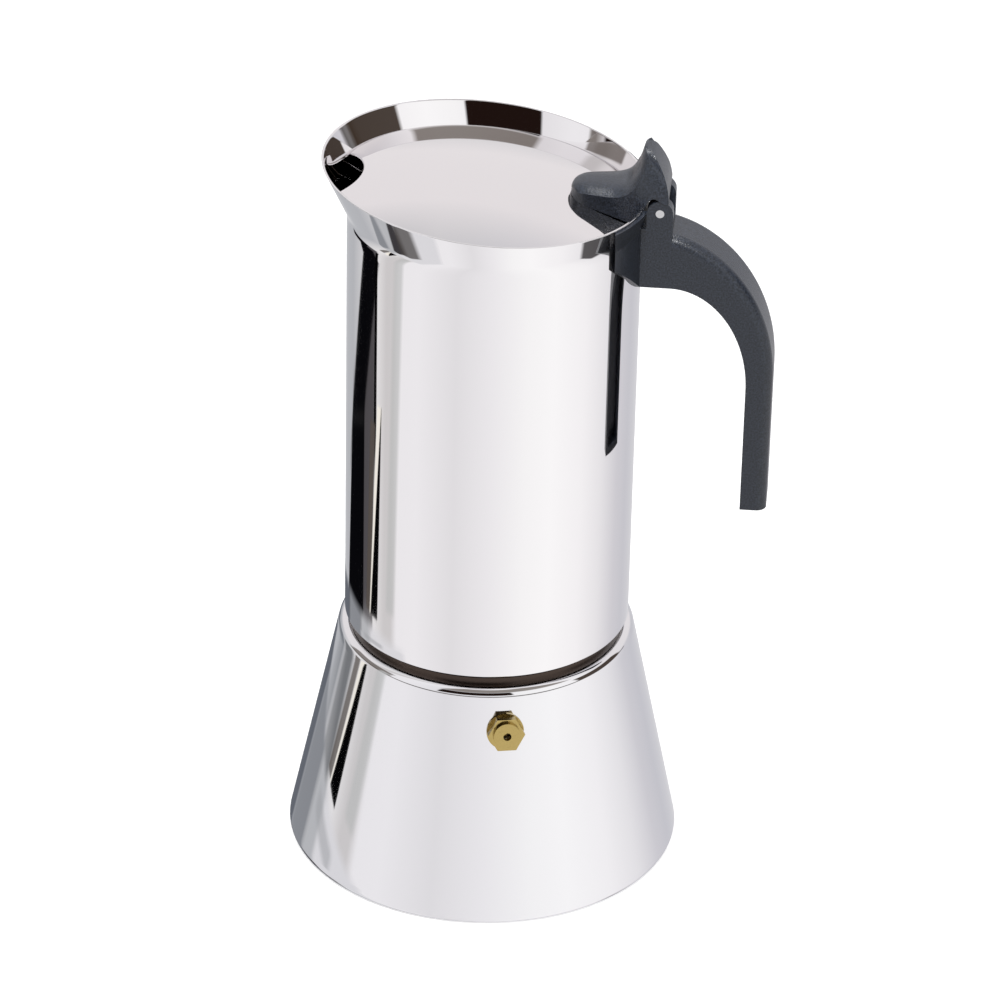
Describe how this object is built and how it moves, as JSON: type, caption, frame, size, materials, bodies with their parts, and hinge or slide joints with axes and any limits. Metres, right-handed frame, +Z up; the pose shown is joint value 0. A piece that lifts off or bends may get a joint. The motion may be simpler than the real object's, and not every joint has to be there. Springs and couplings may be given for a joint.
{
  "type": "moka pot",
  "caption": "Stove-top coffee maker with conical boiler, tall flared collector that screws down on it, hinged lid with thumb lever, curved handle and sprung safety valve.",
  "frame": {"origin": "centre of the boiler's flat foot, on the vessel's axis, with the foot standing on Z = 0", "axes": "+Z up along the vessel's axis, +X towards the handle and the lid's hinge, -X towards the pouring cut-out; the safety valve faces about -Y"},
  "size_m": [0.1432, 0.12, 0.2336],
  "materials": {
    "boiler_steel": "mirror-polished stainless steel",
    "collector_steel": "mirror-polished stainless steel",
    "lid_steel": "mirror-polished stainless steel",
    "inner_steel": "satin stainless steel",
    "hinge_steel": "bright drawn steel",
    "handle_plastic": "fine-grained black phenolic plastic",
    "gasket_rubber": "translucent white silicone",
    "valve_brass": "turned brass",
    "valve_fibre": "red-brown fibre"
  },
  "bodies": {
    "boiler": {"boiler_shell": "boiler_steel", "boiler_base": "boiler_steel", "boiler_neck": "inner_steel", "funnel_basket": "inner_steel", "funnel_strainer": "inner_steel", "funnel_stem": "inner_steel", "valve_body": "valve_brass", "valve_seal": "valve_fibre", "valve_nut": "valve_brass", "valve_spring": "hinge_steel"},
    "valve": {"valve_plunger": "valve_brass"},
    "seal": {"gasket": "gasket_rubber", "filter_plate": "inner_steel"},
    "upper": {"collector_shell": "collector_steel", "thread_ring": "inner_steel", "collector_floor": "inner_steel", "column": "inner_steel", "nozzle": "inner_steel", "handle": "handle_plastic", "handle_bracket": "inner_steel", "handle_screw": "hinge_steel", "hinge_pin": "hinge_steel"},
    "lid": {"lid_plate": "lid_steel", "lid_knob": "handle_plastic", "lid_rivets": "hinge_steel"}
  },
  "joints": [
    {"name": "upper_rise", "type": "slide", "parent": "boiler", "child": "seal", "axis": [0, 0, 1], "range_m": [0, 0.0083]},
    {"name": "upper_unscrew", "type": "hinge", "parent": "seal", "child": "upper", "pos_m": [0, 0, 0.09], "axis": [0, 0, 1], "range_deg": [0, 990]},
    {"name": "lid_hinge", "type": "hinge", "parent": "upper", "child": "lid", "pos_m": [0.0484, 0, 0.2156], "axis": [0, 1, 0], "range_deg": [0, 100]},
    {"name": "valve_lift", "type": "slide", "parent": "boiler", "child": "valve", "axis": [0.2094, -0.9526, 0.2205], "range_m": [0, 0.0009], "stiffness_N_per_m": 900, "springref_m": -0.004, "deforming": ["valve_spring"]}
  ],
  "couplings": [
    {"joint": "upper_rise", "follows": "upper_unscrew", "m_per_rad": 0.00047746}
  ]
}
